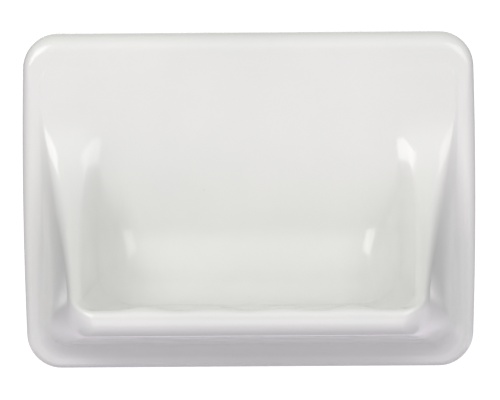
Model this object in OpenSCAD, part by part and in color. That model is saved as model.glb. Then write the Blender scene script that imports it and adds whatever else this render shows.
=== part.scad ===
// Wall-hung soap dish: one glazed casting that hooks down over a dovetailed steel bracket,
// which two screws and two plastic plugs hold to the wall.
// X runs across the dish, Y runs into the wall and Z runs up. The wall's surface is the plane
// Y = 0, and the origin is the middle of the plate, midway between the two screws.

/* [Plate] */
// Width of the plate against the wall
plate_w = 162; // [154:1:172]
// Height of the plate against the wall
plate_h = 120.6; // [116:0.2:130]
// Thickness of the plate, from the wall to its flat front
plate_t = 12; // [11:0.5:14]
// Corner radius of the plate, seen from the front
plate_corner_r = 12; // [10:0.5:15]
// Distance from the plate's side to the foot of the wing beside it, seen from the front
side_margin = 6.2; // [5:0.2:7]
// Distance from the plate's top edge to its flat front
crown_margin = 9; // [8:0.25:9.5]
// Distance from the tray's underside to the plate's lower edge, at the plate's front
belly_margin = 8.6; // [8:0.1:9.4]
// Depth of the straight flank behind the rolled edge
flank_t = 6.5; // [5.5:0.25:7.5]
// Width of the rolled edge along the sides
roll_side_w = 3.8; // [3:0.1:4.4]
// Width of the rolled edge along the top
roll_crown_w = 7; // [6:0.25:7.5]
// Width of the rolled edge along the bottom
roll_belly_w = 2.4; // [2:0.1:3.2]
// Radius of the fillet between the plate's front and the outer walls
edge_fillet = 8; // [6:0.5:9]
// How far the middle of each side bows out beyond its ends
side_bow = 1.1; // [0:0.1:2]

/* [Tray] */
// Distance from the wall to the front of the lip
tray_depth = 81.5; // [74:0.5:90]
// Width over the tray at its lip
tray_w = 122; // [116:1:130]
// Corner radius of the tray, seen from the front
tray_corner_r = 8; // [6:0.5:10]
// Distance of the lip's crest below the plate's middle
lip_drop = 27.6; // [24:0.2:31]
// Height of the lip's rounded front, from its crest to its underside
lip_h = 8.6; // [7.4:0.2:10]
// Thickness of the rim along the lip
rim_t = 6; // [5:0.2:7]
// Fall from the lip's crest to the tray's floor behind it
lip_rise = 4.4; // [3.4:0.2:5.4]
// Fall of the floor from the lip to the back wall
floor_fall = 1; // [0.5:0.25:2]
// Radius of the cove between the floor and the back wall
heel_cove = 10; // [8:0.5:11]
// How far the foot of the back wall sweeps forward
heel_sweep = 16; // [12:0.5:18]
// Height over which it does so
heel_rise = 26; // [22:1:29]
// Width between the wings' inner faces where they would meet the back wall
tray_inner_w = 100; // [96:1:104]
// Width of the coves between the wings and the back wall at the floor, seen from the front
wing_cove = 11; // [9:0.5:13]
// Width of those coves at the wings' top
wing_cove_top_w = 9; // [7:0.5:11]
// Depth of those coves
wing_cove_t = 22; // [16:1:24]

/* [Wings] */
// Height above the plate's middle at which the wings rise out of the plate
wing_top = 35; // [31:0.5:38]
// Width of the rim at a wing's foot
wing_foot_w = 4; // [3.5:0.25:5]
// Width of the rim at a wing's top
wing_top_w = 18; // [14:0.5:19]
// Height of the faint ridge that carries the wings' line on up the plate
ridge_h = 0.4; // [0.3:0.05:0.6]
// How far below its top a wing keeps close to the plate
sweep_top = 22.5; // [18:0.5:26]
// How far back from its foot a wing keeps the slope that it has there
sweep_foot = 39.5; // [34:0.5:43]
// How far the rim draws back from the lip to the wing's foot
foot_setback = 9; // [7:0.5:10]
// How far the rim rises from the lip to the wing's foot
foot_rise = 3.5; // [3:0.25:5]
// Radius of the crest between a wing's outer wall and its rim
crest_round = 3.2; // [2.4:0.1:3.6]
// Radius between a wing's inner face and the floor
inner_foot_r = 14; // [8:0.5:16]

/* [Ribs] */
// Distance between the drain ribs on the floor
rib_pitch = 23.8; // [20:0.2:24]
// Height of the drain ribs
rib_h = 1.8; // [1:0.1:2.6]
// Height of the waves that the ribs make in the lip's crest
lip_wave = 1.3; // [0.5:0.1:1.6]
// Number of ribs
rib_count = 4; // [2:2:4]

/* [Back] */
// Width of the foot round the casting's back
foot_w = 9; // [7:0.5:10]
// Depth of the hollow inside the foot
back_hollow = 4; // [2:0.5:5]
// Depth of the bracket's pocket
pocket_t = 7; // [6.8:0.1:7.6]
// Thickness of the wall round the pocket
pocket_wall = 6; // [4:0.5:8]
// Depth of the cores that lighten the belly and the wings
core_t = 20; // [14:1:22]
// Width of a core inside a wing
wing_core_w = 7; // [5:0.5:8]
// Height of a core inside a wing
wing_core_h = 26; // [20:1:28]
// Width of a core inside the belly
belly_core_w = 18; // [12:1:20]
// Height of a core inside the belly
belly_core_h = 8; // [6:0.5:9]

/* [Bracket] */
// Width of the bracket's back, between its dovetail wings
bracket_w = 34; // [28:1:38]
// Height of the bracket
bracket_h = 42; // [38:1:44]
// Height of the dovetail wings
dovetail_h = 18; // [14:1:19]
// How far the dovetail wings stand off the wall
dovetail_t = 6.2; // [5.6:0.1:6.4]
// How far each dovetail wing flares out
dovetail_flare = 5; // [4:0.25:6]
// Thickness of the bracket's steel
steel_t = 1.5; // [1.2:0.1:1.8]
// Radius of the bracket's lower corners
bracket_corner_r = 4; // [2:0.5:5]

/* [Fixings] */
// Distance between the two screws
screw_pitch = 26; // [24:0.5:28]
// Diameter of the screw's shank
screw_d = 4; // [3.5:0.1:4.4]
// Length of the screw under its head
screw_l = 32; // [25:1:40]
// Length of the screw's point
screw_point_l = 5; // [3:0.5:6]
// Diameter of the screw's head
screw_head_d = 8; // [7:0.2:8.6]
// Height of the screw's head
screw_head_h = 2.8; // [2.2:0.1:3.2]
// Span of the cross recess in the screw's head
recess_w = 4.4; // [3.6:0.1:5]
// Width of each arm of the cross recess
recess_arm_w = 1.2; // [0.8:0.1:1.6]
// Depth of the cross recess
recess_t = 1.6; // [1:0.1:1.8]
// Diameter of the wall plug
plug_d = 6; // [5.6:0.1:7]
// Length of the wall plug
plug_l = 30; // [25:1:35]
// How far the plug's mouth lies behind the wall's surface, clear of a tile's glaze
plug_inset = 3; // [2.5:0.5:6]
// Width of the wall plug's slot
plug_slot_w = 1; // [0.8:0.1:1.4]
// Length of the wall plug's slot
plug_slot_l = 14; // [10:1:18]

/* [Fit] */
// Clearance round the dovetail
dovetail_gap = 0.35; // [0.3:0.05:0.5]
// Room that the dish keeps under the bracket when it is lifted off
lift_gap = 1; // [0.5:0.25:2]
// Clearance of the screw in the bracket's hole, on the diameter
hole_gap = 0.8; // [0.5:0.1:1]
// Clearance of the screw in the wall plug, on the diameter
plug_gap = 0.1; // [0.05:0.01:0.2]

/* [Hidden] */
$fn = 48;
// Overrun of every cut past the face that it opens
over = 1;
// How far the casting's back edge is drawn in, and how far the lip's underside lies behind its front
back_inset = 1.2;
lip_undercut = 1.5;
// Width over which a wing's top and the ridge run out on the plate's front
ridge_fall = 8;
// Distance from the plate over which the back wall's sweep dies away
sweep_reach = 56;
// Width that the wings' coves keep where a wing runs out on the plate
cove_start = 1.5;
// Corner radii of the tray's floor, of its back corner and of the flat of the back wall
floor_corner_r = 10;
heel_corner_r = 11;
flat_corner_r = 3;
// Powers that flare the wings out towards the plate, widen their rims upwards and crowd the back
// wall's rings at its foot
wing_flare = 1.3;
rim_power = 2;
ring_power = 1.5;
// Corner radii of the hollow in the casting's back, of the boss in it and of a wing's core
hollow_corner_r = 5;
boss_corner_r = 3;
wing_core_r = 2.4;
// How far the belly's cores lie below the heel of the tray and beside the boss
core_drop = 1;
core_gap = 2;

// Steps along half of a loop: lip, lower corner, wing, side above it, upper corner and top
zone_steps = [16, 6, 12, 3, 5, 5];
// Steps round each rounded corner of a section, from the flank to the tray's back corner
flank_steps = 1;
roll_steps = 5;
foot_steps = 3;
lip_steps = 4;
floor_steps = 3;
cove_steps = 7;
// Rows of points along the outer walls and along the tray's floor, and rings on the back wall
wall_rows = 2;
floor_rows = 5;
flat_rings = 6;

// Shares of the straight stretches beside a corner that its rounding may take
corner_share = 0.46;
long_share = 0.8;
full_share = 0.96;
// Pull of a rounding's curve towards its corner, as a share, and that of the back wall's coves
pull_share = 0.56;
cove_pull_share = 0.6;
// Shares of the rolled edge's depth and of the lip's height that their roundings take
roll_depth_share = 0.9;
belly_share = 0.6;
// Share of a wing's inner face that its rounded shoulder takes, at its foot and at its top
shoulder_shares = [0.1, 0.7];
// Part of the way down a wing's inner face at which its cove may begin
inner_split_share = 0.5;
// Share of a wing's height at which its inner face starts to spread, and the share over which it does
spread_shares = [0.45, 0.45];
// Lines across the plate's front above the wings, as shares of its half height below the roll: the
// ridge's outer and inner edges, the ridge's foot and the flat of the back wall
crown_shares = [0.03, 0.05, 0.07, 0.09];
// Part of the floor, next to the back wall's cove, over which the ribs fade out
rib_fade_share = 0.8;
// Width of a screw's tip, as a share of its shank
screw_tip_share = 0.15;

half_w = plate_w / 2;
half_h = plate_h / 2;
front_half_w = half_w - side_margin;
front_corner_r = plate_corner_r - side_margin / 2;
crown_z = half_h - crown_margin;
belly_z = belly_margin - half_h;
lip_z = -lip_drop;
wing_foot_z = lip_z + foot_rise;
wing_foot_depth = tray_depth - foot_setback;
ridge_depth = plate_t + ridge_h;
lip_back_depth = tray_depth - rim_t;
floor_front_depth = lip_back_depth - lip_rise;
floor_z = lip_z - lip_rise;
heel_z = floor_z - floor_fall;
// How far the dish is lifted before the dovetail lets go
lift_travel = dovetail_h + lift_gap;
dovetail_low_z = bracket_h / 2 - dovetail_h;
pocket_low_z = -bracket_h / 2 - lift_travel - lift_gap;
// Length of a dovetail wing's slope, and the width that the steel and the clearance take across it
dovetail_slope = norm([dovetail_flare, dovetail_t]);
dovetail_wall = steel_t * dovetail_slope / dovetail_t;
pocket_mouth_w = bracket_w + 2 * dovetail_gap * dovetail_slope / dovetail_t;
pocket_w = pocket_mouth_w + 2 * dovetail_flare * pocket_t / dovetail_t;
boss_w = pocket_w + 2 * pocket_wall;
belly_core_x = boss_w / 2 + core_gap + belly_core_w / 2;
wing_core_x = (front_half_w + tray_inner_w / 2) / 2;
screw_zs = [-screw_pitch / 2, screw_pitch / 2];
// Radius of the domed top of a screw's head, which keeps half of its height at the edge
head_crown_r = (pow(screw_head_d / 2, 2) + pow(screw_head_h / 2, 2)) / screw_head_h;

function mix(a, b, t) = a + (b - a) * t;
function ease(t) = let (s = max(0, min(1, t))) s * s * (3 - 2 * s);
function unit(v) = norm(v) > 0 ? v / norm(v) : v;
function bezier(a, b, c, d, t) =
    pow(1 - t, 3) * a + 3 * t * pow(1 - t, 2) * b + 3 * t * t * (1 - t) * c + pow(t, 3) * d;

// The casting's surface is a set of loops round it, and of sections that cross them. A point is
// [x, depth, z], with its depth measured forward of the wall. Half a loop has six zones: 0 the lip
// from the middle out, 1 the lower corner, 2 the wing, 3 the side above it, 4 the upper corner and
// 5 the top back to the middle. Within a zone t runs from 0 to 1.

// The crest of a wing at a depth: it flares out to the plate's front
function outer_x(depth) =
    mix(tray_w / 2, front_half_w, pow(1 - sqrt((depth - plate_t) / (tray_depth - plate_t)), wing_flare));

// The rim of a wing, seen from the side, and how far up it a place in the zone lies
function wing_z(t) =
    bezier(wing_foot_z, wing_foot_z + sweep_foot * foot_rise / foot_setback, wing_top - sweep_top,
        wing_top, t);
function wing_depth(t) =
    bezier(wing_foot_depth, wing_foot_depth - sweep_foot, ridge_depth, ridge_depth, t);
function wing_rise(t) = (wing_z(t) - wing_foot_z) / (wing_top - wing_foot_z);

// A rounded rectangle as [x, z]. Its sides may lean, and its wing zone ends at the wing's top.
function loop_point(zone, t, low_x, low_z, low_r, high_x, high_z, high_r) =
    let (
        side_low = low_z + low_r,
        side_high = high_z - high_r,
        z = zone == 2 ? mix(side_low, wing_top, wing_rise(t)) : mix(wing_top, side_high, t)
    )
    zone == 0 ? [(low_x - low_r) * t, low_z] :
    zone == 1 ? [low_x - low_r + low_r * sin(90 * t), side_low - low_r * cos(90 * t)] :
    zone <= 3 ? [mix(low_x, high_x, (z - side_low) / (side_high - side_low)), z] :
    zone == 4 ? [high_x - high_r + high_r * cos(90 * t), side_high + high_r * sin(90 * t)] :
    [(high_x - high_r) * (1 - t), high_z];

// The plate's outline with its bowed sides, drawn in by an inset
function outline(zone, t, inset, depth) =
    let (
        straight_w = half_w - side_bow,
        q = loop_point(zone, t, straight_w, -half_h, plate_corner_r, straight_w, half_h, plate_corner_r),
        bow = side_bow * (1 - pow(q[1] / half_h, 2)) * q[0] / straight_w
    )
    [q[0] * (straight_w - inset) / straight_w + bow, depth, q[1] * (half_h - inset) / half_h];

// The line along which the outer walls leave the plate
function wall_foot(zone, t) =
    let (q = loop_point(zone, t, front_half_w, belly_z, front_corner_r, front_half_w, crown_z,
        front_corner_r))
    [q[0], plate_t, q[1]];

// How much of the ridge is left: all of it beside the wings, and none along the top
function ridge_left(zone, t) = zone < 4 ? 1 : zone == 4 ? 1 - ease(t) : 0;

// A line across the top of the plate's front, on the ridge or behind it
function crown(zone, t, line, x, height) =
    let (q = loop_point(zone, t, x, belly_z, front_corner_r, x, crown_z - crown_shares[line] * half_h,
        front_corner_r * (1 - (line + 1) / (len(crown_shares) + 1))))
    [q[0], plate_t + height * ridge_left(zone, t), q[1]];

// The rim's outer edge, along the lip, up the wing and along the ridge
function rim_outer(zone, t) =
    let (setback = foot_setback * (1 - cos(90 * t)), r = tray_corner_r)
    zone == 0 ? [(tray_w / 2 - r) * t, tray_depth, lip_z] :
    zone == 1 ? [outer_x(tray_depth - setback) - r + r * sin(90 * t), tray_depth - setback,
        wing_foot_z - foot_rise * cos(90 * t)] :
    zone == 2 ? [outer_x(wing_depth(t)), wing_depth(t), wing_z(t)] :
    crown(zone, t, 0, outer_x(ridge_depth), ridge_h);

// The rim's inner edge
function rim_inner(zone, t) =
    let (a = zone == 0 ? 0 : 90 * t, edge = rim_outer(zone, t))
    zone <= 1 ? edge - [wing_foot_w * sin(a), rim_t * cos(a), 0] :
    zone == 2 ? edge - [mix(wing_foot_w, wing_top_w, pow(wing_rise(t), rim_power)), 0, 0] :
    crown(zone, t, 1, outer_x(ridge_depth) - wing_top_w, ridge_h);

// The lower edge of the lip's front, which runs out behind the rim of the wing
function lip_under(zone, t) =
    let (
        a = zone == 0 ? 0 : zone == 1 ? 90 * t : 90,
        edge = rim_outer(zone, t),
        foot = wall_foot(zone, t),
        height = edge[1] - plate_t,
        share = height > 2 * lip_h ? lip_h / height : 1 / 2
    )
    edge + cos(a) * [0, -lip_undercut, -lip_h] + sin(a) * share * (foot - edge);

// The tray's back corner, where its walls would meet the back wall, and the flat of the back wall
function back_corner(zone, t) =
    let (
        q = loop_point(zone, t, tray_inner_w / 2, heel_z, heel_corner_r, tray_inner_w / 2,
            crown_z - crown_shares[2] * half_h, front_corner_r),
        top_x = outer_x(ridge_depth) - wing_top_w - ridge_fall,
        spread = zone == 2 ? ease((wing_rise(t) - spread_shares[0]) / spread_shares[1]) : 0
    )
    zone <= 2 ? [q[0] + (top_x - tray_inner_w / 2) * spread, plate_t, q[1]] :
    crown(zone, t, 2, top_x, 0);
function back_flat(zone, t) =
    let (
        top_x = tray_inner_w / 2 - wing_cove_top_w,
        q = loop_point(zone, t, tray_inner_w / 2 - wing_cove, heel_z + heel_cove, flat_corner_r,
            top_x, crown_z - crown_shares[3] * half_h, front_corner_r)
    )
    zone <= 2 ? [q[0], plate_t, q[1]] : crown(zone, t, 3, top_x, 0);

// Where the lip's inner slope meets the floor, which becomes a line down the wing's inner face
function inner_foot(zone, t) =
    let (
        wing = mix(rim_inner(2, 0), back_corner(2, 0), inner_split_share),
        x_r = wing[0] - tray_inner_w / 2 + floor_corner_r,
        z_r = wing[2] - floor_z
    )
    zone == 0 ? [(tray_inner_w / 2 - floor_corner_r) * t, floor_front_depth, floor_z] :
    zone == 1 ? [wing[0] - x_r + x_r * sin(90 * t), mix(floor_front_depth, wing[1], ease(t)),
        floor_z + z_r * (1 - cos(90 * t))] :
    mix(rim_inner(zone, t), back_corner(zone, t), inner_split_share);

// A rounded corner: it starts before_l short of the corner and ends after_l past it
function rounded(before, corner, after, before_l, after_l, steps, pull = pull_share) =
    let (
        start = corner + unit(before - corner) * before_l,
        end = corner + unit(after - corner) * after_l
    )
    [for (k = [0:steps]) bezier(start, mix(start, corner, pull), mix(end, corner, pull), end,
        k / steps)];

// Points between two others, without them
function between(a, b, count) = [for (k = [1:count]) mix(a, b, k / (count + 1))];

// Lift of the drain ribs at a place in the tray
function rib_wave(x) =
    abs(x) < rib_count / 2 * rib_pitch ? (1 - cos(360 * x / rib_pitch)) / 2 : 0;
function rib_lift(depth) =
    let (
        fade_end = plate_t + heel_sweep + heel_cove,
        fade_l = (floor_front_depth - fade_end) * rib_fade_share
    )
    depth > lip_back_depth ? lip_wave * max(0, tray_depth - depth) / rim_t :
    depth > floor_front_depth ?
    mix(rib_h, lip_wave, (depth - floor_front_depth) / (lip_back_depth - floor_front_depth)) :
    rib_h * ease((depth - fade_end) / fade_l);
function with_ribs(points) =
    [for (p = points) p + [0, 0, rib_wave(p[0]) * rib_lift(p[1])]];

// The back wall sweeps forward into the floor, and carries what lies close in front of it along
function swept(points) = [for (p = points)
    let (
        left = max(0, 1 - max(0, p[2] - heel_z) / heel_rise),
        near = 1 - ease((p[1] - plate_t) / sweep_reach)
    )
    p + [0, heel_sweep * left * left * near, 0]];

// Width of the rolled edge at a place in a loop
function roll_w(zone, t) =
    zone < 2 ? mix(roll_belly_w, roll_side_w, zone * ease(t)) :
    zone < 4 ? roll_side_w :
    zone == 4 ? mix(roll_side_w, roll_crown_w, ease(t)) : roll_crown_w;

// The back wall goes on inwards from a section's last point as rings round a middle
flat_middle = [0, plate_t, (back_flat(0, 0)[2] + back_flat(5, 1)[2]) / 2];
function flat_ring_points(flat) =
    [for (k = [0:flat_rings - 1]) mix(flat, flat_middle, pow(k / flat_rings, ring_power))];

// One section of the casting, from its back edge round to the middle of the back wall
function section(zone, t) =
    let (
        back = outline(zone, t, back_inset, 0),
        flank = outline(zone, t, 0, flank_t / 2),
        edge = outline(zone, t, 0, plate_t),
        foot = wall_foot(zone, t),
        under = lip_under(zone, t),
        outer = rim_outer(zone, t),
        inner = rim_inner(zone, t),
        floor_edge = inner_foot(zone, t),
        corner = back_corner(zone, t),
        flat = back_flat(zone, t),
        rise = zone < 2 ? 0 : zone == 2 ? wing_rise(t) : 1,
        rim_half = norm(inner - outer) * corner_share,
        rim_round = min(crest_round, rim_half),
        wall_l = norm(under - foot),
        foot_in = (norm(foot - edge) - roll_w(zone, t)) * long_share,
        foot_out = min(edge_fillet, wall_l * corner_share),
        under_l = norm(outer - under) * corner_share,
        under_in = min(lip_h * belly_share, wall_l * corner_share),
        face_l = norm(floor_edge - inner),
        shoulder_share = zone < 2 ? mix(corner_share, shoulder_shares[0], zone * t) :
            mix(shoulder_shares[0], shoulder_shares[1], rise),
        shoulder = face_l * shoulder_share,
        part = zone == 0 ? 0 : zone == 1 ? ease(t) : 1,
        floor_round_l = mix(lip_rise, inner_foot_r, part),
        lip_foot_in = min(floor_round_l, face_l * (1 - shoulder_share) * long_share),
        floor_l = norm(corner - floor_edge),
        cove_in = min(mix(heel_cove, wing_cove_t, part),
            floor_l * (zone == 0 ? 1 - corner_share : long_share)),
        cove_out = min(mix(heel_cove, wing_cove, part), norm(flat - corner) * full_share,
            cove_start + inner[1] - plate_t),
        cove_foot = corner + unit(floor_edge - corner) * cove_in,
        lip_foot_out = min(floor_round_l, (floor_l - cove_in) * long_share),
        foot_round = rounded(edge, foot, under, foot_in, foot_out, foot_steps),
        under_round = rounded(foot, under, outer, under_in, under_l, lip_steps),
        floor_round = rounded(inner, floor_edge, corner, lip_foot_in, lip_foot_out, floor_steps)
    )
    concat(
        [back],
        rounded(back, flank, edge, norm(flank - back) * corner_share, norm(flank - back) * corner_share,
            flank_steps),
        rounded(flank, edge, foot, (plate_t - flank_t) * roll_depth_share, roll_w(zone, t), roll_steps),
        foot_round,
        between(foot_round[foot_steps], under_round[0], wall_rows),
        under_round,
        with_ribs(concat(
            rounded(under, outer, inner, under_l, rim_round, lip_steps),
            rounded(outer, inner, floor_edge, mix(rim_round, rim_half, rise), shoulder, lip_steps),
            swept(concat(
                floor_round,
                between(floor_round[floor_steps], cove_foot, floor_rows),
                rounded(floor_edge, corner, flat, cove_in, cove_out, cove_steps, cove_pull_share)
            ))
        )),
        swept(flat_ring_points(flat))
    );

module casting() {
    half = concat(
        [for (zone = [0:len(zone_steps) - 1])
            for (k = [0:zone_steps[zone] - 1]) section(zone, k / zone_steps[zone])],
        [section(5, 1)]
    );
    last = len(half) - 1;
    mirrored = [for (i = [last - 1:-1:1]) [for (p = half[i]) [-p[0], p[1], p[2]]]];
    loops = concat(half, mirrored);
    n = len(loops);
    rows = len(loops[0]);
    // The back and the middle of the back wall are closed by fans round a point of their own
    points = [for (p = concat([for (s = loops) each s], [[0, 0, 0], flat_middle])) [p[0], -p[1], p[2]]];
    sides = [for (i = [0:n - 1]) for (j = [0:rows - 2])
        let (a = i * rows + j, b = (i + 1) % n * rows + j)
        each i < last ? [[a, b + 1, b], [a, a + 1, b + 1]] : [[a, a + 1, b], [b, a + 1, b + 1]]];
    back = [for (i = [0:n - 1]) [n * rows, i * rows, (i + 1) % n * rows]];
    flat = [for (i = [1:n]) [n * rows + 1, i % n * rows + rows - 1, i * rows - 1]];
    polyhedron(points, concat(sides, back, flat));
}

// Stands a flat shape up in the wall's plane and draws it forward from one depth to another
module forward(from, to) {
    translate([0, -from, 0]) rotate([90, 0, 0]) linear_extrude(to - from) children();
}

module rounded_rect(w, h, r) {
    square([w - 2 * r, h], center = true);
    square([w, h - 2 * r], center = true);
    for (x = [-1, 1], z = [-1, 1]) translate([x * (w / 2 - r), z * (h / 2 - r)]) circle(r);
}

// The bracket's pocket: a dovetail that ends under a ceiling, above a straight well
module pocket() {
    translate([0, 0, dovetail_low_z]) linear_extrude(dovetail_h) polygon([
        [-pocket_mouth_w / 2, over], [pocket_mouth_w / 2, over], [pocket_mouth_w / 2, 0],
        [pocket_w / 2, -pocket_t], [-pocket_w / 2, -pocket_t], [-pocket_mouth_w / 2, 0]
    ]);
    translate([-pocket_w / 2, -pocket_t, pocket_low_z])
        cube([pocket_w, pocket_t + over, dovetail_low_z - pocket_low_z]);
}

// The hollow inside the casting's foot, all round the boss that holds the pocket
module hollow() {
    forward(-over, back_hollow) difference() {
        rounded_rect(plate_w - 2 * foot_w, plate_h - 2 * foot_w, hollow_corner_r);
        translate([0, (bracket_h / 2 + pocket_low_z) / 2])
            rounded_rect(boss_w, bracket_h / 2 - pocket_low_z + 2 * pocket_wall, boss_corner_r);
    }
}

// The cores that keep the clay even in the belly and in the wings
module cores() {
    for (side = [-1, 1]) {
        translate([side * belly_core_x, 0, heel_z - core_drop - belly_core_h / 2])
            forward(0, core_t) rounded_rect(belly_core_w, belly_core_h, boss_corner_r);
        translate([side * wing_core_x, 0, heel_z + wing_core_h / 2])
            forward(0, core_t) rounded_rect(wing_core_w, wing_core_h, wing_core_r);
    }
}

module dish_body() {
    color("white") difference() {
        casting();
        hollow();
        cores();
        pocket();
    }
}

module wall_bracket() {
    color("silver") difference() {
        union() {
            forward(0, steel_t) union() {
                translate([0, bracket_corner_r / 2])
                    square([bracket_w, bracket_h - bracket_corner_r], center = true);
                translate([0, -bracket_h / 2 + bracket_corner_r / 2])
                    square([bracket_w - 2 * bracket_corner_r, bracket_corner_r], center = true);
                for (side = [-1, 1])
                    translate([side * (bracket_w / 2 - bracket_corner_r), -bracket_h / 2 + bracket_corner_r])
                        circle(bracket_corner_r);
            }
            for (side = [-1, 1]) translate([0, 0, dovetail_low_z]) linear_extrude(dovetail_h) polygon([
                [side * (bracket_w / 2 - dovetail_wall), 0], [side * bracket_w / 2, 0],
                [side * (bracket_w / 2 + dovetail_flare), -dovetail_t],
                [side * (bracket_w / 2 + dovetail_flare - dovetail_wall), -dovetail_t]
            ]);
        }
        for (z = screw_zs) translate([0, 0, z]) rotate([90, 0, 0])
            cylinder(d = screw_d + hole_gap, h = 2 * (steel_t + over), center = true);
    }
}

// One screw, with the underside of its head at zero and its point towards the wall
module screw() {
    difference() {
        rotate([90, 0, 0]) intersection() {
            cylinder(d = screw_head_d, h = screw_head_h);
            translate([0, 0, screw_head_h - head_crown_r]) sphere(head_crown_r);
        }
        translate([0, -screw_head_h, 0]) for (turn = [0, 90]) rotate([0, turn, 0])
            cube([recess_w, 2 * recess_t, recess_arm_w], center = true);
    }
    rotate([-90, 0, 0]) cylinder(d = screw_d, h = screw_l - screw_point_l);
    translate([0, screw_l - screw_point_l, 0]) rotate([-90, 0, 0])
        cylinder(d1 = screw_d, d2 = screw_d * screw_tip_share, h = screw_point_l);
}

module bracket_screws() {
    color("gainsboro") for (z = screw_zs) translate([0, -steel_t, z]) screw();
}

module wall_plugs() {
    color("lightgray") for (z = screw_zs) translate([0, plug_inset, z]) difference() {
        rotate([-90, 0, 0]) cylinder(d = plug_d, h = plug_l);
        translate([0, -over, 0]) rotate([-90, 0, 0])
            cylinder(d = screw_d + plug_gap, h = plug_l + 2 * over);
        translate([-plug_d / 2 - over, plug_l - plug_slot_l, -plug_slot_w / 2])
            cube([plug_d + 2 * over, plug_slot_l + over, plug_slot_w]);
    }
}

dish_body();
wall_bracket();
bracket_screws();
wall_plugs();
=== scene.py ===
import bpy
import bmesh
import math
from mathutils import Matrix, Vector


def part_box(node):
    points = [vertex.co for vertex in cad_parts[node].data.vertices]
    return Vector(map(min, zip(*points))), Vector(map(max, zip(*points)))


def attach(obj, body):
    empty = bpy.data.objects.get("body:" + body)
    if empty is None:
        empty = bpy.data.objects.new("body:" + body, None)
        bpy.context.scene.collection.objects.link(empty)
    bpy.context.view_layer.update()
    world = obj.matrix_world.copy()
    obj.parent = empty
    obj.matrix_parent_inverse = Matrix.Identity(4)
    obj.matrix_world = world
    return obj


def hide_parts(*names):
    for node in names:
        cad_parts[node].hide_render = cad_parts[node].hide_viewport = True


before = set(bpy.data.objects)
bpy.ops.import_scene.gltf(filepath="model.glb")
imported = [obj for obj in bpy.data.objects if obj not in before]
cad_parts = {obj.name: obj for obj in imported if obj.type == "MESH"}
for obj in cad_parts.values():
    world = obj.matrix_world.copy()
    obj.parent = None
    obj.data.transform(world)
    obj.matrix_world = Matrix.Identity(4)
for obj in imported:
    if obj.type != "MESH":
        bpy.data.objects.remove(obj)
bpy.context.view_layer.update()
scene = bpy.context.scene
mm = 0.001
print("frame loaded:", ", ".join(sorted(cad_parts)))


# Small helpers for curves

def mix(a, b, t):
    return a + (b - a) * t


def ease(t):
    t = max(0.0, min(1.0, t))
    return t * t * (3 - 2 * t)


def curveAt(a, b, c, d, t):
    return a * (1 - t) ** 3 + b * 3 * t * (1 - t) ** 2 + c * 3 * t * t * (1 - t) + d * t ** 3


def roundedCorner(before, corner, after, beforeLength, afterLength, steps, pull=0.56):
    start = corner + (before - corner).normalized() * beforeLength
    end = corner + (after - corner).normalized() * afterLength
    startPull, endPull = start.lerp(corner, pull), end.lerp(corner, pull)
    return [curveAt(start, startPull, endPull, end, k / steps) for k in range(steps + 1)]


def between(a, b, count):
    return [a.lerp(b, k / (count + 1)) for k in range(1, count + 1)]


# The casting, in millimetres; a point is (across, forward of the wall, up)
dishLow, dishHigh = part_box("dish_body")
casting = {
    "plateThickness": 12.0, "plateCorner": 12.0, "edgeRoll": 6.2, "crownRoll": 9.0, "flank": 6.5,
    "rollBelly": 2.4, "rollSide": 3.8, "rollCrown": 7.0, "edgeFillet": 8.0, "crestRound": 3.2,
    "sideBow": 1.1, "backInset": 1.2,
    "lipDepth": 81.46, "trayWidth": 122.0, "trayCorner": 8.0, "lipDrop": 27.6, "lipHeight": 8.6,
    "lipUndercut": 1.5, "rimThickness": 6.0, "lipRise": 4.4, "floorFall": 1.0,
    "heelCove": 10.0, "heelSweep": 16.0, "heelRise": 26.0, "sweepReach": 56.0,
    "wingCove": 11.0, "wingCoveTop": 9.0, "coveStart": 1.5,
    "wingCoveDepth": 22.0, "innerWidth": 100.0, "bellyMargin": 8.6,
    "wingTop": 35.0, "ridgeHeight": 0.4, "wingWidthFoot": 4.0, "wingWidthTop": 18.0, "ridgeFall": 8.0,
    "sweepTop": 22.5, "sweepFoot": 39.5, "footSetback": 9.0, "footRise": 3.5,
    "wingFlare": 1.3, "rimPower": 2.0, "innerFootRound": 14.0,
    "floorCorner": 10.0, "heelCorner": 11.0, "flatCorner": 3.0, "wallHollow": 0.35, "hollowSpread": 1.2,
    "ribPitch": 23.8, "ribHeight": 1.8, "lipWave": 1.3, "ribCount": 4,
}
# Steps along half a loop, lip to top, and along a section, back edge to tray
castingSteps = {"loop": (40, 14, 32, 8, 12, 14), "flank": 3, "roll": 12, "foot": 6, "wall": 8,
                "lip": 8, "floor": 6, "floorRows": 16, "cove": 10, "flatRings": 14}
# Shares of the stretches beside a corner that its rounding may take
roundingShares = {"corner": 0.46, "long": 0.8, "rollDepth": 0.9, "belly": 0.6,
                  "shoulderFoot": 0.1, "shoulderTop": 0.7, "innerSplit": 0.5, "ribFade": 0.8,
                  "spread": (0.45, 0.45), "covePull": 0.6, "full": 0.96,
                  "crown": (0.03, 0.05, 0.07, 0.09)}

halfWidth = dishHigh.x / mm
halfHeight = dishHigh.z / mm
frontHalfWidth = halfWidth - casting["edgeRoll"]
frontCorner = casting["plateCorner"] - casting["edgeRoll"] / 2
crownHeight = halfHeight - casting["crownRoll"]
bellyHeight = casting["bellyMargin"] - halfHeight
lipHeight = -casting["lipDrop"]
wingFootHeight = lipHeight + casting["footRise"]
wingFootDepth = casting["lipDepth"] - casting["footSetback"]
ridgeDepth = casting["plateThickness"] + casting["ridgeHeight"]
lipBackDepth = casting["lipDepth"] - casting["rimThickness"]
floorFrontDepth = lipBackDepth - casting["lipRise"]
floorHeight = lipHeight - casting["lipRise"]
heelHeight = floorHeight - casting["floorFall"]


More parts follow.
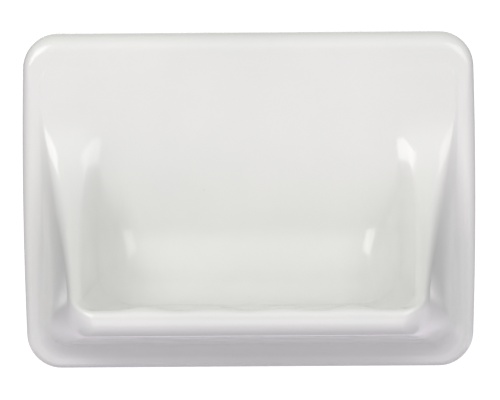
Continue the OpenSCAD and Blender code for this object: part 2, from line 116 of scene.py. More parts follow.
def outerX(depth):
    out = (depth - casting["plateThickness"]) / (casting["lipDepth"] - casting["plateThickness"])
    return mix(casting["trayWidth"] / 2, frontHalfWidth, (1 - math.sqrt(out)) ** casting["wingFlare"])


def wingHeight(t):
    pulled = wingFootHeight + casting["sweepFoot"] * casting["footRise"] / casting["footSetback"]
    return curveAt(wingFootHeight, pulled, casting["wingTop"] - casting["sweepTop"], casting["wingTop"], t)


def wingDepth(t):
    return curveAt(wingFootDepth, wingFootDepth - casting["sweepFoot"], ridgeDepth, ridgeDepth, t)


def wingRise(t):
    return (wingHeight(t) - wingFootHeight) / (casting["wingTop"] - wingFootHeight)


def wingWidth(rise):
    return mix(casting["wingWidthFoot"], casting["wingWidthTop"], rise ** casting["rimPower"])


# A rounded rectangle whose sides may lean
# Zones: 0 lip, 1 lower corner, 2 wing, 3 side, 4 upper corner, 5 top
def loopPoint(zone, t, lowX, lowZ, lowR, highX, highZ, highR):
    sideLow, sideHigh = lowZ + lowR, highZ - highR
    if zone == 0:
        return (lowX - lowR) * t, lowZ
    if zone == 1:
        turn = math.radians(90 * t)
        return lowX - lowR + lowR * math.sin(turn), sideLow - lowR * math.cos(turn)
    if zone <= 3:
        wingTop = casting["wingTop"]
        z = mix(sideLow, wingTop, wingRise(t)) if zone == 2 else mix(wingTop, sideHigh, t)
        return mix(lowX, highX, (z - sideLow) / (sideHigh - sideLow)), z
    if zone == 4:
        turn = math.radians(90 * t)
        return highX - highR + highR * math.cos(turn), sideHigh + highR * math.sin(turn)
    return (highX - highR) * (1 - t), highZ


def plateOutline(zone, t, inset, depth):
    straight = halfWidth - casting["sideBow"]
    corner = casting["plateCorner"]
    x, z = loopPoint(zone, t, straight, -halfHeight, corner, straight, halfHeight, corner)
    bow = casting["sideBow"] * (1 - (z / halfHeight) ** 2) * x / straight
    return Vector((x * (straight - inset) / straight + bow, depth, z * (halfHeight - inset) / halfHeight))


def wallFoot(zone, t):
    x, z = loopPoint(zone, t, frontHalfWidth, bellyHeight, frontCorner,
                     frontHalfWidth, crownHeight, frontCorner)
    return Vector((x, casting["plateThickness"], z))


def ridgeLeft(zone, t):
    return 1 if zone < 4 else 1 - ease(t) if zone == 4 else 0


def crownPoint(zone, t, line, x, height):
    shares = roundingShares["crown"]
    corner = frontCorner * (1 - (line + 1) / (len(shares) + 1))
    x, z = loopPoint(zone, t, x, bellyHeight, frontCorner, x, crownHeight - shares[line] * halfHeight, corner)
    return Vector((x, casting["plateThickness"] + height * ridgeLeft(zone, t), z))


def rimOuter(zone, t):
    radius, turn = casting["trayCorner"], math.radians(90 * t)
    if zone == 0:
        return Vector(((casting["trayWidth"] / 2 - radius) * t, casting["lipDepth"], lipHeight))
    if zone == 1:
        depth = casting["lipDepth"] - casting["footSetback"] * (1 - math.cos(turn))
        return Vector((outerX(depth) - radius + radius * math.sin(turn), depth,
                       wingFootHeight - casting["footRise"] * math.cos(turn)))
    if zone == 2:
        return Vector((outerX(wingDepth(t)), wingDepth(t), wingHeight(t)))
    return crownPoint(zone, t, 0, outerX(ridgeDepth), casting["ridgeHeight"])


def rimInner(zone, t):
    turn = 0 if zone == 0 else math.radians(90 * t)
    if zone <= 1:
        inward = Vector((casting["wingWidthFoot"] * math.sin(turn),
                         casting["rimThickness"] * math.cos(turn), 0))
        return rimOuter(zone, t) - inward
    if zone == 2:
        return rimOuter(zone, t) - Vector((wingWidth(wingRise(t)), 0, 0))
    return crownPoint(zone, t, 1, outerX(ridgeDepth) - casting["wingWidthTop"], casting["ridgeHeight"])


def lipUnder(zone, t):
    turn = math.radians(0 if zone == 0 else 90 * t if zone == 1 else 90)
    edge, foot = rimOuter(zone, t), wallFoot(zone, t)
    stand = edge.y - casting["plateThickness"]
    share = casting["lipHeight"] / stand if stand > 2 * casting["lipHeight"] else 1 / 2
    under = Vector((0, -casting["lipUndercut"], -casting["lipHeight"]))
    return edge + math.cos(turn) * under + math.sin(turn) * share * (foot - edge)


def backCorner(zone, t):
    topX = outerX(ridgeDepth) - casting["wingWidthTop"] - casting["ridgeFall"]
    if zone > 2:
        return crownPoint(zone, t, 2, topX, 0)
    inner = casting["innerWidth"] / 2
    x, z = loopPoint(zone, t, inner, heelHeight, casting["heelCorner"], inner,
                     crownHeight - roundingShares["crown"][2] * halfHeight, frontCorner)
    openFrom, openOver = roundingShares["spread"]
    opening = ease((wingRise(t) - openFrom) / openOver) if zone == 2 else 0
    return Vector((x + (topX - inner) * opening, casting["plateThickness"], z))


def backFlat(zone, t):
    flatX = casting["innerWidth"] / 2 - casting["wingCoveTop"]
    if zone > 2:
        return crownPoint(zone, t, 3, flatX, 0)
    lowX = casting["innerWidth"] / 2 - casting["wingCove"]
    x, z = loopPoint(zone, t, lowX, heelHeight + casting["heelCove"], casting["flatCorner"], flatX,
                     crownHeight - roundingShares["crown"][3] * halfHeight, frontCorner)
    return Vector((x, casting["plateThickness"], z))


def innerFoot(zone, t):
    if zone > 1:
        return rimInner(zone, t).lerp(backCorner(zone, t), roundingShares["innerSplit"])
    if zone == 0:
        straight = casting["innerWidth"] / 2 - casting["floorCorner"]
        return Vector((straight * t, floorFrontDepth, floorHeight))
    wing = rimInner(2, 0).lerp(backCorner(2, 0), roundingShares["innerSplit"])
    turn = math.radians(90 * t)
    across = wing.x - casting["innerWidth"] / 2 + casting["floorCorner"]
    return Vector((wing.x - across + across * math.sin(turn), mix(floorFrontDepth, wing.y, ease(t)),
                   floorHeight + (wing.z - floorHeight) * (1 - math.cos(turn))))


def ribWave(x):
    reach = casting["ribCount"] / 2 * casting["ribPitch"]
    return (1 - math.cos(2 * math.pi * x / casting["ribPitch"])) / 2 if abs(x) < reach else 0


def ribLift(depth):
    fadeEnd = casting["plateThickness"] + casting["heelSweep"] + casting["heelCove"]
    fadeLength = (floorFrontDepth - fadeEnd) * roundingShares["ribFade"]
    if depth > lipBackDepth:
        return casting["lipWave"] * max(0, casting["lipDepth"] - depth) / casting["rimThickness"]
    if depth > floorFrontDepth:
        part = (depth - floorFrontDepth) / (lipBackDepth - floorFrontDepth)
        return mix(casting["ribHeight"], casting["lipWave"], part)
    return casting["ribHeight"] * ease((depth - fadeEnd) / fadeLength)


def withRibs(points):
    return [p + Vector((0, 0, ribWave(p.x) * ribLift(p.y))) for p in points]


# The back wall sweeps forward into the floor, and carries what lies close in front of it along
def swept(points):
    moved = []
    for p in points:
        left = max(0, 1 - max(0, p.z - heelHeight) / casting["heelRise"])
        near = 1 - ease((p.y - casting["plateThickness"]) / casting["sweepReach"])
        moved.append(p + Vector((0, casting["heelSweep"] * left ** 2 * near, 0)))
    return moved


def rollAcross(zone, t):
    widths = [casting["rollBelly"]] * 2 + [casting["rollSide"]] * 3 + [casting["rollCrown"]] * 2
    return mix(widths[zone], widths[zone + 1], ease(t))


def castingSection(zone, t):
    steps, shares = castingSteps, roundingShares
    back = plateOutline(zone, t, casting["backInset"], 0)
    flank = plateOutline(zone, t, 0, casting["flank"] / 2)
    edge = plateOutline(zone, t, 0, casting["plateThickness"])
    foot, under, outer, inner = wallFoot(zone, t), lipUnder(zone, t), rimOuter(zone, t), rimInner(zone, t)
    floorEdge, corner, flat = innerFoot(zone, t), backCorner(zone, t), backFlat(zone, t)
    rise = 0 if zone < 2 else wingRise(t) if zone == 2 else 1
    rimWidth = (inner - outer).length
    rimRound = min(rimWidth * shares["corner"], casting["crestRound"])
    shoulderIn = mix(rimRound, rimWidth * shares["corner"], rise)
    wallLength = (under - foot).length
    rollRoom = (foot - edge).length
    roll = rollAcross(zone, t)
    flankRound = (flank - back).length * shares["corner"]
    footIn = (rollRoom - roll) * shares["long"]
    footOut = min(casting["edgeFillet"], wallLength * shares["corner"])
    underLength = (outer - under).length * shares["corner"]
    underIn = min(casting["lipHeight"] * shares["belly"], wallLength * shares["corner"])
    if zone < 2:
        shoulder = mix(shares["corner"], shares["shoulderFoot"], zone * t)
    else:
        shoulder = mix(shares["shoulderFoot"], shares["shoulderTop"], rise)
    faceLength = (floorEdge - inner).length
    part = 0 if zone == 0 else ease(t) if zone == 1 else 1
    footRoundSize = mix(casting["lipRise"], casting["innerFootRound"], part)
    lipFootIn = min(footRoundSize, faceLength * (1 - shoulder) * shares["long"])
    cove = mix(casting["heelCove"], casting["wingCove"], part)
    floorLength = (corner - floorEdge).length
    coveDepth = mix(casting["heelCove"], casting["wingCoveDepth"], part)
    coveIn = min(coveDepth, floorLength * (1 - shares["corner"] if zone == 0 else shares["long"]))
    stand = inner.y - casting["plateThickness"]
    coveOut = min(cove, (flat - corner).length * shares["full"], casting["coveStart"] + stand)
    coveStart = corner + (floorEdge - corner).normalized() * coveIn
    lipFootOut = min(footRoundSize, (floorLength - coveIn) * shares["long"])
    footRound = roundedCorner(edge, foot, under, footIn, footOut, steps["foot"])
    underRound = roundedCorner(foot, under, outer, underIn, underLength, steps["lip"])
    floorRound = roundedCorner(inner, floorEdge, corner, lipFootIn, lipFootOut, steps["floor"])
    points = [back]
    points += roundedCorner(back, flank, edge, flankRound, flankRound, steps["flank"])
    points += roundedCorner(flank, edge, foot,
                            (casting["plateThickness"] - casting["flank"]) * shares["rollDepth"],
                            roll, steps["roll"])
    points += footRound + between(footRound[-1], underRound[0], steps["wall"]) + underRound
    points += withRibs(
        roundedCorner(under, outer, inner, underLength, rimRound, steps["lip"])
        + roundedCorner(outer, inner, floorEdge, shoulderIn, faceLength * shoulder, steps["lip"])
        + swept(floorRound + between(floorRound[-1], coveStart, steps["floorRows"])
                + roundedCorner(floorEdge, corner, flat, coveIn, coveOut, steps["cove"], shares["covePull"])))
    return points, flat


def inFrame(point):
    return Vector((point.x, -point.y, point.z)) * mm


def makeCasting():
    places = [(zone, k / count) for zone, count in enumerate(castingSteps["loop"]) for k in range(count)]
    places.append((len(castingSteps["loop"]) - 1, 1))
    # The back wall goes on inwards from each section as rings, a little hollow as it comes from the mould
    centre = Vector((0, casting["plateThickness"], (backFlat(0, 0).z + backFlat(5, 1).z) / 2))
    rings = castingSteps["flatRings"]
    half = []
    for zone, t in places:
        points, flat = castingSection(zone, t)
        inwards = [flat.lerp(centre, k / rings) for k in range(rings)]
        hollow = [Vector((0, casting["wallHollow"] * ease(k / rings * casting["hollowSpread"]), 0))
                  for k in range(rings)]
        half.append(points + [p - deep for p, deep in zip(swept(inwards), hollow)])
    mirrored = [[Vector((-p.x, p.y, p.z)) for p in section] for section in half[-2:0:-1]]
    sections = half + mirrored
    mesh = bmesh.new()
    grid = [[mesh.verts.new(inFrame(p)) for p in section] for section in sections]
    middle = mesh.verts.new(inFrame(centre - Vector((0, casting["wallHollow"], 0))))
    backMiddle = mesh.verts.new((0, 0, 0))
    count, rows = len(grid), len(grid[0])
    for i in range(count):
        a, b = grid[i], grid[(i + 1) % count]
        for j in range(rows - 1):
            mesh.faces.new((a[j], a[j + 1], b[j + 1], b[j]))
        mesh.faces.new((a[-1], middle, b[-1]))
        mesh.faces.new((a[0], b[0], backMiddle)).material_index = 1
    bmesh.ops.recalc_face_normals(mesh, faces=mesh.faces)
    return mesh


# The casting's back: a hollow inside its foot, the boss round the bracket's pocket, cores in belly and wings
castingBack = {
    "footWidth": 9.0, "hollowDepth": 4.0, "hollowCorner": 5.0, "pocketDepth": 7.0, "pocketWall": 6.0,
    "bossCorner": 3.0, "coreDepth": 20.0, "wingCore": (7.0, 26.0, 2.4), "bellyCore": (18.0, 8.0, 3.0),
    "coreDrop": 1.0, "coreGap": 2.0, "bracketWidth": 34.0, "bracketHeight": 42.0, "dovetailHeight": 18.0,
    "dovetailDepth": 6.2, "dovetailFlare": 5.0, "dovetailGap": 0.35, "liftGap": 1.0,
    "edgeRound": 0.8, "edgeSteps": 5, "cornerSteps": 6, "overrun": 1.0, "sharpAngle": 35,
}
pocketLow = -castingBack["bracketHeight"] / 2 - castingBack["dovetailHeight"] - 2 * castingBack["liftGap"]
dovetailLow = castingBack["bracketHeight"] / 2 - castingBack["dovetailHeight"]
dovetailSlope = (math.hypot(castingBack["dovetailFlare"], castingBack["dovetailDepth"])
                 / castingBack["dovetailDepth"])
pocketMouth = castingBack["bracketWidth"] / 2 + castingBack["dovetailGap"] * dovetailSlope
pocketHalf = (pocketMouth
              + castingBack["dovetailFlare"] * castingBack["pocketDepth"] / castingBack["dovetailDepth"])
bossWidth = 2 * (pocketHalf + castingBack["pocketWall"])


# A block through the back with rounded corners; each ring is (depth, how much wider all round)
def roundedBlock(name, size, radius, middle, rings):
    mesh = bmesh.new()
    steps = castingBack["cornerSteps"]
    loops = []
    for depth, wider in rings:
        loop = []
        for corner, (sideX, sideZ) in enumerate(((1, -1), (1, 1), (-1, 1), (-1, -1))):
            x = middle[0] + sideX * (size[0] / 2 - radius)
            z = middle[1] + sideZ * (size[1] / 2 - radius)
            for k in range(steps + 1):
                turn = math.radians(90 * (corner - 1 + k / steps))
                out = radius + wider
                place = Vector((x + out * math.cos(turn), depth, z + out * math.sin(turn)))
                loop.append(mesh.verts.new(inFrame(place)))
        loops.append(loop)
    for a, b in zip(loops, loops[1:]):
        for k in range(len(a)):
            mesh.faces.new((a[k], a[(k + 1) % len(a)], b[(k + 1) % len(a)], b[k]))
    mesh.faces.new(loops[0])
    mesh.faces.new(loops[-1])
    return cutterObject(name, mesh)


def quarterTurns():
    steps = castingBack["edgeSteps"]
    return [math.radians(90 * k / steps) for k in range(steps + 1)]


def cutRings(start, depth):
    r, turns = castingBack["edgeRound"], quarterTurns()
    rings = [(start - castingBack["overrun"], r)]
    rings += [(start + r - r * math.cos(a), r - r * math.sin(a)) for a in turns]
    return rings + [(depth - r + r * math.sin(a), r * math.cos(a) - r) for a in turns]


def bossRings(depth):
    r, over, turns = castingBack["edgeRound"], castingBack["overrun"], quarterTurns()
    rings = [(-2 * over, -r)] + [(r - r * math.cos(a), r * math.sin(a) - r) for a in turns]
    rings += [(depth - r + r * math.sin(a), r - r * math.cos(a)) for a in turns]
    return rings + [(depth + over, r)]


# The dovetailed slot under its ceiling, above a straight well
def pocketBlock():
    over, deep = -castingBack["overrun"], castingBack["pocketDepth"]
    well = [(-pocketHalf, over), (pocketHalf, over), (pocketHalf, deep), (-pocketHalf, deep)]
    slot = [(-pocketMouth, over), (pocketMouth, over), (pocketMouth, 0), (pocketHalf, deep),
            (-pocketHalf, deep), (-pocketMouth, 0)]
    mesh = bmesh.new()

    def row(points, z):
        return [mesh.verts.new(inFrame(Vector((x, depth, z)))) for x, depth in points]

    low, mid = row(well, pocketLow), row(well, dovetailLow)
    neck, top = row(slot, dovetailLow), row(slot, castingBack["bracketHeight"] / 2)
    for a, b in ((low, mid), (neck, top)):
        for k in range(len(a)):
            mesh.faces.new((a[k], a[(k + 1) % len(a)], b[(k + 1) % len(a)], b[k]))
    mesh.faces.new(low)
    mesh.faces.new(top)
    mesh.faces.new((neck[1], mid[1], neck[3], neck[2]))
    mesh.faces.new((mid[0], neck[0], neck[5], neck[4]))
    bmesh.ops.remove_doubles(mesh, verts=mesh.verts, dist=0.001 * mm)
    return cutterObject("pocket_cutter", mesh)


def cutterObject(name, mesh):
    bmesh.ops.recalc_face_normals(mesh, faces=mesh.faces)
    for face in mesh.faces:
        face.material_index = 1
        face.smooth = True
    return meshObject(name, mesh, glaze, bisque)


def combineWith(piece, other, operation):
    step = piece.modifiers.new(other.name, "BOOLEAN")
    step.object, step.operation, step.solver = other, operation, "EXACT"


def applyModifiers(piece):
    shaped = bpy.data.meshes.new_from_object(piece.evaluated_get(bpy.context.evaluated_depsgraph_get()))
    piece.modifiers.clear()
    piece.data = shaped


def hollowBack(piece):
    back = castingBack
    hollowSize = (2 * (halfWidth - back["footWidth"]), 2 * (halfHeight - back["footWidth"]))
    hollow = roundedBlock("hollow_cutter", hollowSize, back["hollowCorner"], (0, 0),
                          cutRings(0, back["hollowDepth"]))
    bossHeight = back["bracketHeight"] / 2 - pocketLow
    boss = roundedBlock("boss_block", (bossWidth, bossHeight + 2 * back["pocketWall"]), back["bossCorner"],
                        (0, back["bracketHeight"] / 2 - bossHeight / 2), bossRings(back["hollowDepth"]))
    combineWith(hollow, boss, "DIFFERENCE")
    cutters = [boss]
    bellyX = bossWidth / 2 + back["coreGap"] + back["bellyCore"][0] / 2
    bellyZ = heelHeight - back["coreDrop"] - back["bellyCore"][1] / 2
    wingX, wingZ = (frontHalfWidth + casting["innerWidth"] / 2) / 2, heelHeight + back["wingCore"][1] / 2
    for side in (-1, 1):
        for name, x, z in (("bellyCore", bellyX, bellyZ), ("wingCore", wingX, wingZ)):
            core = roundedBlock(name, back[name][:2], back[name][2], (side * x, z),
                                cutRings(back["hollowDepth"], back["coreDepth"]))
            combineWith(hollow, core, "UNION")
            cutters.append(core)
    pocket = pocketBlock()
    combineWith(hollow, pocket, "UNION")
    combineWith(piece, hollow, "DIFFERENCE")
    applyModifiers(piece)
    for cutter in cutters + [pocket, hollow]:
        bpy.data.objects.remove(cutter)
    piece.data.set_sharp_from_angle(angle=math.radians(back["sharpAngle"]))


def meshObject(name, mesh, *materials):
    data = bpy.data.meshes.new(name)
    mesh.to_mesh(data)
    mesh.free()
    for material in materials:
        data.materials.append(material)
    piece = bpy.data.objects.new(name, data)
    scene.collection.objects.link(piece)
    return piece


# Node helpers

def newMaterial(name):
    material = bpy.data.materials.new(name)
    material.use_nodes = True
    tree = material.node_tree
    return material, tree, tree.nodes["Principled BSDF"]


def addNode(tree, kind, settings=None, **values):
    node = tree.nodes.new(kind)
    for key, value in (settings or {}).items():
        setattr(node, key, value)
    for key, value in values.items():
        node.inputs[key.replace("_", " ")].default_value = value
    return node


def combine(tree, operation, first, second):
    node = addNode(tree, "ShaderNodeMath", {"operation": operation})
    tree.links.new(first, node.inputs[0])
    tree.links.new(second, node.inputs[1])
    return node.outputs[0]


def noiseNode(tree, place, scale, detail=2.0, stretch=None):
    if stretch:
        mapping = addNode(tree, "ShaderNodeMapping", Scale=stretch)
        tree.links.new(place, mapping.inputs["Vector"])
        place = mapping.outputs["Vector"]
    noiseTexture = addNode(tree, "ShaderNodeTexNoise", Scale=scale, Detail=detail)
    tree.links.new(place, noiseTexture.inputs["Vector"])
    return noiseTexture.outputs["Fac"]


def spread(tree, value, low, high, lowValue, highValue):
    step = addNode(tree, "ShaderNodeMapRange", From_Min=low, From_Max=high, To_Min=lowValue, To_Max=highValue)
    tree.links.new(value, step.inputs["Value"])
    return step.outputs["Result"]


def blendColours(tree, factor, first, second):
    mixer = tree.nodes.new("ShaderNodeMix")
    mixer.data_type = "RGBA"
    tree.links.new(factor, mixer.inputs["Factor"])
    for name, colour in (("A", first), ("B", second)):
        socket = [s for s in mixer.inputs if s.name == name and s.type == "RGBA"][0]
        if isinstance(colour, tuple):
            socket.default_value = (*colour, 1)
        else:
            tree.links.new(colour, socket)
    return [s for s in mixer.outputs if s.type == "RGBA"][0]


def bumpNode(tree, height, strength, depth, before=None):
    bump = addNode(tree, "ShaderNodeBump", Strength=strength, Distance=depth)
    tree.links.new(height, bump.inputs["Height"])
    if before:
        tree.links.new(before, bump.inputs["Normal"])
    return bump.outputs["Normal"]


def linkShader(tree, shader, colour, roughness, normal):
    tree.links.new(colour, shader.inputs["Base Color"])
    tree.links.new(roughness, shader.inputs["Roughness"])
    tree.links.new(normal, shader.inputs["Normal"])


def piecePlace(tree):
    return tree.nodes.new("ShaderNodeTexCoord").outputs["Object"]


# Glaze: cloudy where it pooled, with the odd pinhole and a faint orange peel in its gloss
glazeLook = {"pooled": (0.775, 0.78, 0.765), "clear": (0.805, 0.803, 0.79), "pinhole": (0.68, 0.66, 0.6),
             "cloudScale": 22.0, "cloudDetail": 4.0, "cloudStep": (0.35, 0.65),
             "pinholeScale": 190.0, "pinholeSize": 0.035, "pinholeChance": (0.96, 0.98),
             "glossScale": 66.0, "glossDetail": 3.0, "glossStep": (0.3, 0.7), "gloss": (0.09, 0.17),
             "peelScale": 260.0, "peelDepth": 0.00006, "peelStrength": 0.12,
             "fineScale": 1500.0, "fineDepth": 0.000015, "fineStrength": 0.04}


def glazeMaterial():
    look = glazeLook
    material, tree, shader = newMaterial("white_glaze")
    place = piecePlace(tree)
    clouds = noiseNode(tree, place, look["cloudScale"], look["cloudDetail"])
    colour = blendColours(tree, spread(tree, clouds, *look["cloudStep"], 0, 1), look["pooled"], look["clear"])
    cells = addNode(tree, "ShaderNodeTexVoronoi", Scale=look["pinholeScale"])
    tree.links.new(place, cells.inputs["Vector"])
    close = spread(tree, cells.outputs["Distance"], look["pinholeSize"], 2 * look["pinholeSize"], 1, 0)
    chosen = tree.nodes.new("ShaderNodeSeparateColor")
    tree.links.new(cells.outputs["Color"], chosen.inputs["Color"])
    few = spread(tree, chosen.outputs[0], *look["pinholeChance"], 0, 1)
    pinholes = combine(tree, "MULTIPLY", close, few)
    colour = blendColours(tree, pinholes, colour, look["pinhole"])
    patches = noiseNode(tree, place, look["glossScale"], look["glossDetail"])
    gloss = spread(tree, patches, *look["glossStep"], *look["gloss"])
    peel = bumpNode(tree, noiseNode(tree, place, look["peelScale"]), look["peelStrength"], look["peelDepth"])
    fine = noiseNode(tree, place, look["fineScale"])
    linkShader(tree, shader, colour, gloss,
               bumpNode(tree, fine, look["fineStrength"], look["fineDepth"], peel))
    return material


# Bare fired clay on the back: chalky, a little sandy, and wiped in one direction with a sponge
bisqueLook = {"light": (0.79, 0.76, 0.7), "dark": (0.7, 0.66, 0.58), "grain": (0.52, 0.46, 0.38),
              "cloudScale": 45.0, "cloudDetail": 5.0, "cloudStep": (0.35, 0.65),
              "grainScale": 900.0, "grainDetail": 3.0, "grainStep": (0.66, 0.76), "grainShare": 0.6,
              "grainStrength": 0.5, "grainDepth": 0.00025,
              "wipeScale": 160.0, "wipeDetail": 3.0, "wipeStretch": (0.25, 1, 2), "wipeStep": (0.3, 0.7),
              "wipeStrength": 0.3, "matt": (0.78, 0.95)}


def bisqueMaterial():
    look = bisqueLook
    material, tree, shader = newMaterial("bare_clay")
    place = piecePlace(tree)
    clouds = noiseNode(tree, place, look["cloudScale"], look["cloudDetail"])
    grain = noiseNode(tree, place, look["grainScale"], look["grainDetail"])
    wiped = noiseNode(tree, place, look["wipeScale"], look["wipeDetail"], look["wipeStretch"])
    colour = blendColours(tree, spread(tree, clouds, *look["cloudStep"], 0, 1), look["dark"], look["light"])
    specks = spread(tree, grain, *look["grainStep"], 0, look["grainShare"])
    colour = blendColours(tree, specks, colour, look["grain"])
    rough = spread(tree, wiped, *look["wipeStep"], *look["matt"])
    sandy = bumpNode(tree, grain, look["grainStrength"], look["grainDepth"])
    linkShader(tree, shader, colour, rough,
               bumpNode(tree, wiped, look["wipeStrength"], look["grainDepth"], sandy))
    return material


# Galvanised sheet: zinc spangle under a fine rolled grain
bracketLook = {"dull": (0.52, 0.53, 0.53), "bright": (0.66, 0.66, 0.64),
               "spangleScale": 240.0, "spangleSpread": 0.9, "gloss": (0.3, 0.46),
               "grainScale": 500.0, "grainDetail": 4.0, "grainStretch": (0.06, 1, 2.5),
               "grainStep": (0.2, 0.8), "grainLevel": (0.5, 1.3),
               "grainStrength": 0.25, "grainDepth": 0.00006}


def bracketMaterial():
    look = bracketLook
    material, tree, shader = newMaterial("galvanised_steel")
    shader.inputs["Metallic"].default_value = 1
    place = piecePlace(tree)
    spangle = addNode(tree, "ShaderNodeTexVoronoi", Scale=look["spangleScale"],
                      Randomness=look["spangleSpread"])
    tree.links.new(place, spangle.inputs["Vector"])
    shade = tree.nodes.new("ShaderNodeSeparateColor")
    tree.links.new(spangle.outputs["Color"], shade.inputs["Color"])
    grain = noiseNode(tree, place, look["grainScale"], look["grainDetail"], look["grainStretch"])
    rolled = spread(tree, grain, *look["grainStep"], *look["grainLevel"])
    level = combine(tree, "MULTIPLY", shade.outputs[0], rolled)
    colour = blendColours(tree, level, look["dull"], look["bright"])
    rough = spread(tree, shade.outputs[1], 0, 1, *look["gloss"])
    linkShader(tree, shader, colour, rough, bumpNode(tree, grain, look["grainStrength"], look["grainDepth"]))
    return material


# Bright zinc on the screws, with the rings that turning leaves round each shank
screwLook = {"pale": (0.7, 0.69, 0.66), "warm": (0.62, 0.59, 0.53), "screwHeight": 0.013,
             "ringScale": 900.0, "ringDistortion": 1.5, "ringDetail": 2.0,
             "ringStrength": 0.2, "ringDepth": 0.00005,
             "cloudScale": 300.0, "cloudDetail": 4.0, "cloudStep": (0.3, 0.7), "gloss": (0.2, 0.36)}


def screwMaterial():
    look = screwLook
    material, tree, shader = newMaterial("zinc_plating")
    shader.inputs["Metallic"].default_value = 1
    place = piecePlace(tree)
    split = tree.nodes.new("ShaderNodeSeparateXYZ")
    tree.links.new(place, split.inputs[0])
    height = addNode(tree, "ShaderNodeMath", {"operation": "ABSOLUTE"})
    tree.links.new(split.outputs[2], height.inputs[0])
    above = addNode(tree, "ShaderNodeMath", {"operation": "SUBTRACT"})
    tree.links.new(height.outputs[0], above.inputs[0])
    above.inputs[1].default_value = look["screwHeight"]
    own = tree.nodes.new("ShaderNodeCombineXYZ")
    for source, socket in ((split.outputs[0], 0), (split.outputs[1], 1), (above.outputs[0], 2)):
        tree.links.new(source, own.inputs[socket])
    rings = addNode(tree, "ShaderNodeTexWave", {"wave_type": "RINGS", "rings_direction": "Y"},
                    Scale=look["ringScale"], Distortion=look["ringDistortion"], Detail=look["ringDetail"])
    tree.links.new(own.outputs[0], rings.inputs["Vector"])
    clouds = noiseNode(tree, place, look["cloudScale"], look["cloudDetail"])
    colour = blendColours(tree, spread(tree, clouds, *look["cloudStep"], 0, 1), look["warm"], look["pale"])
    rough = spread(tree, clouds, *look["cloudStep"], *look["gloss"])
    linkShader(tree, shader, colour, rough,
               bumpNode(tree, rings.outputs["Fac"], look["ringStrength"], look["ringDepth"]))
    return material


# Grey moulded plastic of the wall plugs
plugLook = {"pale": (0.64, 0.64, 0.61), "dark": (0.55, 0.55, 0.53), "noiseStep": (0.3, 0.7),
            "flowScale": 180.0, "flowDetail": 3.0, "flowStretch": (1, 0.3, 1), "matt": (0.45, 0.62),
            "grainScale": 1400.0, "grainStrength": 0.3, "grainDepth": 0.00008}


def plugMaterial():
    look = plugLook
    material, tree, shader = newMaterial("plug_plastic")
    place = piecePlace(tree)
    flow = noiseNode(tree, place, look["flowScale"], look["flowDetail"], look["flowStretch"])
    grain = noiseNode(tree, place, look["grainScale"])
    colour = blendColours(tree, spread(tree, flow, *look["noiseStep"], 0, 1), look["dark"], look["pale"])
    linkShader(tree, shader, colour, spread(tree, grain, *look["noiseStep"], *look["matt"]),
               bumpNode(tree, grain, look["grainStrength"], look["grainDepth"]))
    return material


glaze = glazeMaterial()
bisque = bisqueMaterial()
dish = meshObject("ceramic_dish", makeCasting(), glaze, bisque)
for face in dish.data.polygons:
    face.use_smooth = True
hollowBack(dish)
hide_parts("dish_body")
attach(dish, "dish")
print("casting made:", len(dish.data.polygons), "faces")

# The hidden fixings keep their CAD shapes and get their finishes here
for node, material in (("wall_bracket", bracketMaterial()), ("bracket_screws", screwMaterial()),
                       ("wall_plugs", plugMaterial())):
    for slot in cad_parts[node].material_slots:
        slot.material = material
print("fixings finished")

# Camera at the photograph's place; distances in metres and angles in degrees
view = {"target": (0, -0.006, 0), "distance": 1.4, "azimuth": 0.5, "elevation": 8.0, "roll": 0.45,
        "pixelsPerMetre": 2790, "imageWidth": 500, "imageMiddle": 249.2, "sensorWidth": 36}


def makeCamera():
    data = bpy.data.cameras.new("camera")
    camera = bpy.data.objects.new("camera", data)
    scene.collection.objects.link(camera)
    a, e = math.radians(view["azimuth"]), math.radians(view["elevation"])
    back = Vector((math.sin(a) * math.cos(e), -math.cos(a) * math.cos(e), math.sin(e)))
    camera.location = Vector(view["target"]) + back * view["distance"]
    turn = (-back).to_track_quat("-Z", "Y")
    camera.rotation_euler = turn.to_euler()
    camera.rotation_euler.rotate_axis("Z", math.radians(-view["roll"]))
    data.sensor_width = view["sensorWidth"]
    data.lens = data.sensor_width * view["pixelsPerMetre"] * view["distance"] / view["imageWidth"]
    data.shift_x = (view["imageWidth"] / 2 - view["imageMiddle"]) / view["imageWidth"]
    scene.camera = camera


makeCamera()

# Two softboxes, a surround that is brightest high and low in front, a white backdrop and a pale floor.
# Each band runs (from, to, value at from, value at to) in the direction's own component.
studio = {
    "leftBox": {"place": (-0.95, -1.2, 0.75), "size": (1.05, 1.05),
                "power": 11.8, "colour": (1, 0.995, 0.975)},
    "rightBox": {"place": (0.95, -1.2, 0.75), "size": (1.2, 1.1),
                 "power": 7.8, "colour": (1, 0.995, 0.98)},
    "frontToBeside": (-0.95, -0.4, 0.23, 0.14), "leftToRight": (-0.9, 0.9, 0.82, 1.08),
    "under": (-0.9, -0.5, 0.15, 1), "low": (-0.4, -0.05, 7.2, 1),
    "high": (0.15, 0.55, 1, 4.2), "over": (0.78, 0.97, 1, 0.25),
    "tintStep": (-0.5, 0.3), "tintBelow": (0.965, 0.9, 1.0), "tintAbove": (0.98, 1.0, 0.97),
    "backdrop": (0.9, 0.95, 0, 1.16),
    "floorDrop": 1.2, "floorSize": 3.2, "floorCells": 8,
    "floorColour": (0.72, 0.7, 0.75), "floorRoughness": 0.8,
}


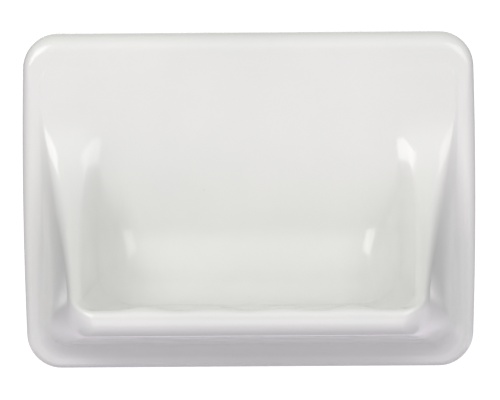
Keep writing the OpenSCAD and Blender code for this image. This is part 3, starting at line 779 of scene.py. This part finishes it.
def makeSoftbox(name):
    box = studio[name]
    data = bpy.data.lights.new(name, "AREA")
    data.shape = "RECTANGLE"
    data.size, data.size_y = box["size"]
    data.energy = box["power"]
    data.color = box["colour"]
    lamp = bpy.data.objects.new(name, data)
    lamp.location = box["place"]
    lamp.rotation_euler = (-Vector(box["place"])).to_track_quat("-Z", "Y").to_euler()
    scene.collection.objects.link(lamp)


def smoothStep(tree, value, low, high, lowValue=0, highValue=1):
    step = addNode(tree, "ShaderNodeMapRange", {"interpolation_type": "SMOOTHSTEP"},
                   From_Min=low, From_Max=high, To_Min=lowValue, To_Max=highValue)
    tree.links.new(value, step.inputs["Value"])
    return step.outputs["Result"]


def makeSurround():
    world = bpy.data.worlds.new("surround")
    scene.world = world
    world.use_nodes = True
    tree = world.node_tree
    tree.nodes.clear()
    # Brightness by direction alone
    direction = tree.nodes.new("ShaderNodeTexCoord")
    split = tree.nodes.new("ShaderNodeSeparateXYZ")
    tree.links.new(direction.outputs["Generated"], split.inputs[0])
    across, along, up = split.outputs
    level = smoothStep(tree, along, *studio["frontToBeside"])
    for source, band in ((across, "leftToRight"), (up, "under"), (up, "low"), (up, "high"), (up, "over")):
        level = combine(tree, "MULTIPLY", level, smoothStep(tree, source, *studio[band]))
    tint = blendColours(tree, smoothStep(tree, up, *studio["tintStep"]),
                        studio["tintBelow"], studio["tintAbove"])
    backdrop = smoothStep(tree, along, *studio["backdrop"])
    light = tree.nodes.new("ShaderNodeBackground")
    tree.links.new(tint, light.inputs["Color"])
    tree.links.new(combine(tree, "MAXIMUM", level, backdrop), light.inputs["Strength"])
    output = tree.nodes.new("ShaderNodeOutputWorld")
    tree.links.new(light.outputs[0], output.inputs["Surface"])


def makeFloor():
    material, tree, shader = newMaterial("pale_floor")
    shader.inputs["Base Color"].default_value = (*studio["floorColour"], 1)
    shader.inputs["Roughness"].default_value = studio["floorRoughness"]
    mesh = bmesh.new()
    bmesh.ops.create_grid(mesh, x_segments=studio["floorCells"], y_segments=studio["floorCells"],
                          size=studio["floorSize"] / 2)
    floor = meshObject("studio_floor", mesh, material)
    floor.location.z = dishLow.z - studio["floorDrop"]


makeSoftbox("leftBox")
makeSoftbox("rightBox")
makeSurround()
makeFloor()
scene.view_settings.view_transform = "Standard"
